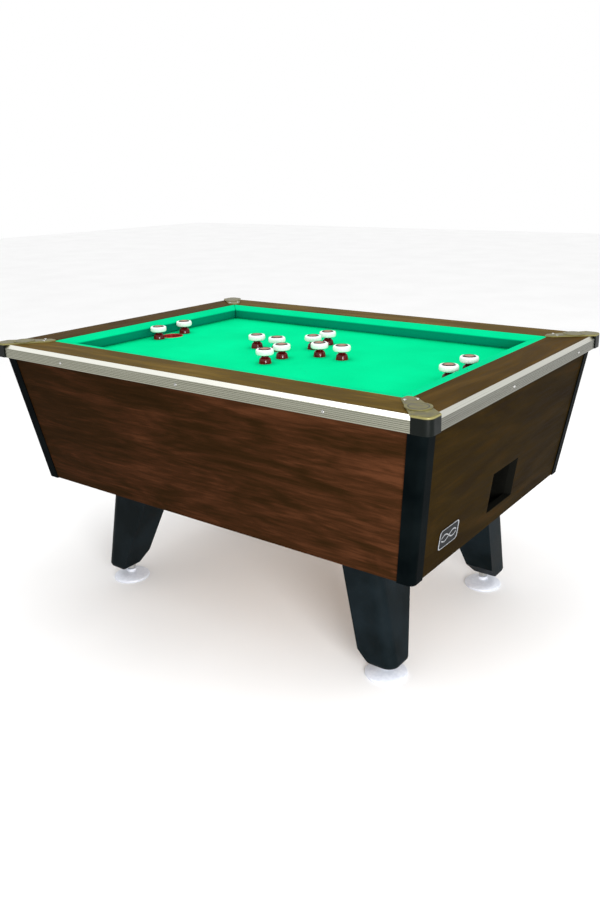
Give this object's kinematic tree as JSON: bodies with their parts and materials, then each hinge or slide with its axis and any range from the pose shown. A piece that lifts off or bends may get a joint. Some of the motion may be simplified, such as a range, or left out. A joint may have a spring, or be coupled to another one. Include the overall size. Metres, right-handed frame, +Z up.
{
  "type": "bumper pool table",
  "caption": "Rectangular bumper pool table: green cloth bed with rubber bumpers, a pocket and an open ball tray at each end, aluminium rail trim and splayed legs on screw levelling feet.",
  "frame": {"origin": "on the floor under the middle of the table", "axes": "+X along the table towards the end with the badge, +Y across it to the back, +Z up"},
  "size_m": [1.454, 1.042, 0.794],
  "materials": {
    "side_laminate": "satin walnut print",
    "end_laminate": "satin walnut print",
    "rail_laminate": "satin brown laminate",
    "post_laminate": "satin black",
    "leg_laminate": "satin black",
    "raw_board": "raw board",
    "trim_aluminium": "ribbed and brushed",
    "cap_bronze": "antique bronze",
    "cushion_rubber": "green cloth over rubber",
    "slate": "honed",
    "bed_cloth": "woven wool cloth",
    "liner_white": "gloss",
    "liner_red": "gloss",
    "black_plastic": "matte",
    "bumper_maroon": "gloss",
    "button_maroon": "gloss",
    "ring_rubber": "satin white",
    "foot_steel": "satin nickel",
    "zinc_steel": "zinc plated",
    "screw_steel": "zinc plated",
    "badge_metal": "silver rim round a dark field"
  },
  "bodies": {
    "table": {"badge": "badge_metal", "ball_duct_left": "black_plastic", "ball_duct_right": "black_plastic", "ball_tray_left": "black_plastic", "ball_tray_right": "black_plastic", "bed_cloth": "bed_cloth", "bed_ledgers": "raw_board", "bumper_bolts": "zinc_steel", "bumper_caps": "button_maroon", "bumper_nuts": "zinc_steel", "bumper_posts": "bumper_maroon", "bumper_rings": "ring_rubber", "cabinet_floor": "raw_board", "cap_screws": "screw_steel", "corner_cap_back_left": "cap_bronze", "corner_cap_back_right": "cap_bronze", "corner_cap_front_left": "cap_bronze", "corner_cap_front_right": "cap_bronze", "corner_post_back_left": "post_laminate", "corner_post_back_right": "post_laminate", "corner_post_front_left": "post_laminate", "corner_post_front_right": "post_laminate", "cross_beams": "raw_board", "cushion_back": "cushion_rubber", "cushion_front": "cushion_rubber", "cushion_left": "cushion_rubber", "cushion_right": "cushion_rubber", "end_panel_left": "end_laminate", "end_panel_right": "end_laminate", "floor_cleats": "raw_board", "leg_back_left": "leg_laminate", "leg_back_right": "leg_laminate", "leg_bolts": "zinc_steel", "leg_front_left": "leg_laminate", "leg_front_right": "leg_laminate", "leg_inserts": "zinc_steel", "pocket_liner_left": "liner_red", "pocket_liner_right": "liner_white", "rail_back": "rail_laminate", "rail_bolts": "zinc_steel", "rail_front": "rail_laminate", "rail_left": "rail_laminate", "rail_right": "rail_laminate", "rail_trim_back": "trim_aluminium", "rail_trim_front": "trim_aluminium", "rail_trim_left": "trim_aluminium", "rail_trim_right": "trim_aluminium", "side_panel_back": "side_laminate", "side_panel_front": "side_laminate", "slate_bed": "slate", "trim_screws": "screw_steel"},
    "foot_front_right": {"foot_pad_front_right": "foot_steel"},
    "stud_front_right": {"leveller_stud_front_right": "zinc_steel"},
    "foot_back_right": {"foot_pad_back_right": "foot_steel"},
    "stud_back_right": {"leveller_stud_back_right": "zinc_steel"},
    "foot_back_left": {"foot_pad_back_left": "foot_steel"},
    "stud_back_left": {"leveller_stud_back_left": "zinc_steel"},
    "foot_front_left": {"foot_pad_front_left": "foot_steel"},
    "stud_front_left": {"leveller_stud_front_left": "zinc_steel"}
  },
  "joints": [
    {"name": "level_front_right", "type": "slide", "parent": "table", "child": "foot_front_right", "axis": [0, 0, -1], "range_m": [0, 0.025]},
    {"name": "screw_front_right", "type": "hinge", "parent": "foot_front_right", "child": "stud_front_right", "pos_m": [0.488, -0.291, 0.03], "axis": [0, 0, 1], "range_deg": [0, 4501]},
    {"name": "level_back_right", "type": "slide", "parent": "table", "child": "foot_back_right", "axis": [0, 0, -1], "range_m": [0, 0.025]},
    {"name": "screw_back_right", "type": "hinge", "parent": "foot_back_right", "child": "stud_back_right", "pos_m": [0.488, 0.291, 0.03], "axis": [0, 0, 1], "range_deg": [0, 4501]},
    {"name": "level_back_left", "type": "slide", "parent": "table", "child": "foot_back_left", "axis": [0, 0, -1], "range_m": [0, 0.025]},
    {"name": "screw_back_left", "type": "hinge", "parent": "foot_back_left", "child": "stud_back_left", "pos_m": [-0.488, 0.291, 0.03], "axis": [0, 0, 1], "range_deg": [0, 4501]},
    {"name": "level_front_left", "type": "slide", "parent": "table", "child": "foot_front_left", "axis": [0, 0, -1], "range_m": [0, 0.025]},
    {"name": "screw_front_left", "type": "hinge", "parent": "foot_front_left", "child": "stud_front_left", "pos_m": [-0.488, -0.291, 0.03], "axis": [0, 0, 1], "range_deg": [0, 4501]}
  ],
  "couplings": [
    {"joint": "screw_front_right", "follows": "level_front_right", "rad_per_m": 3141.6},
    {"joint": "screw_back_right", "follows": "level_back_right", "rad_per_m": 3141.6},
    {"joint": "screw_back_left", "follows": "level_back_left", "rad_per_m": 3141.6},
    {"joint": "screw_front_left", "follows": "level_front_left", "rad_per_m": 3141.6}
  ]
}
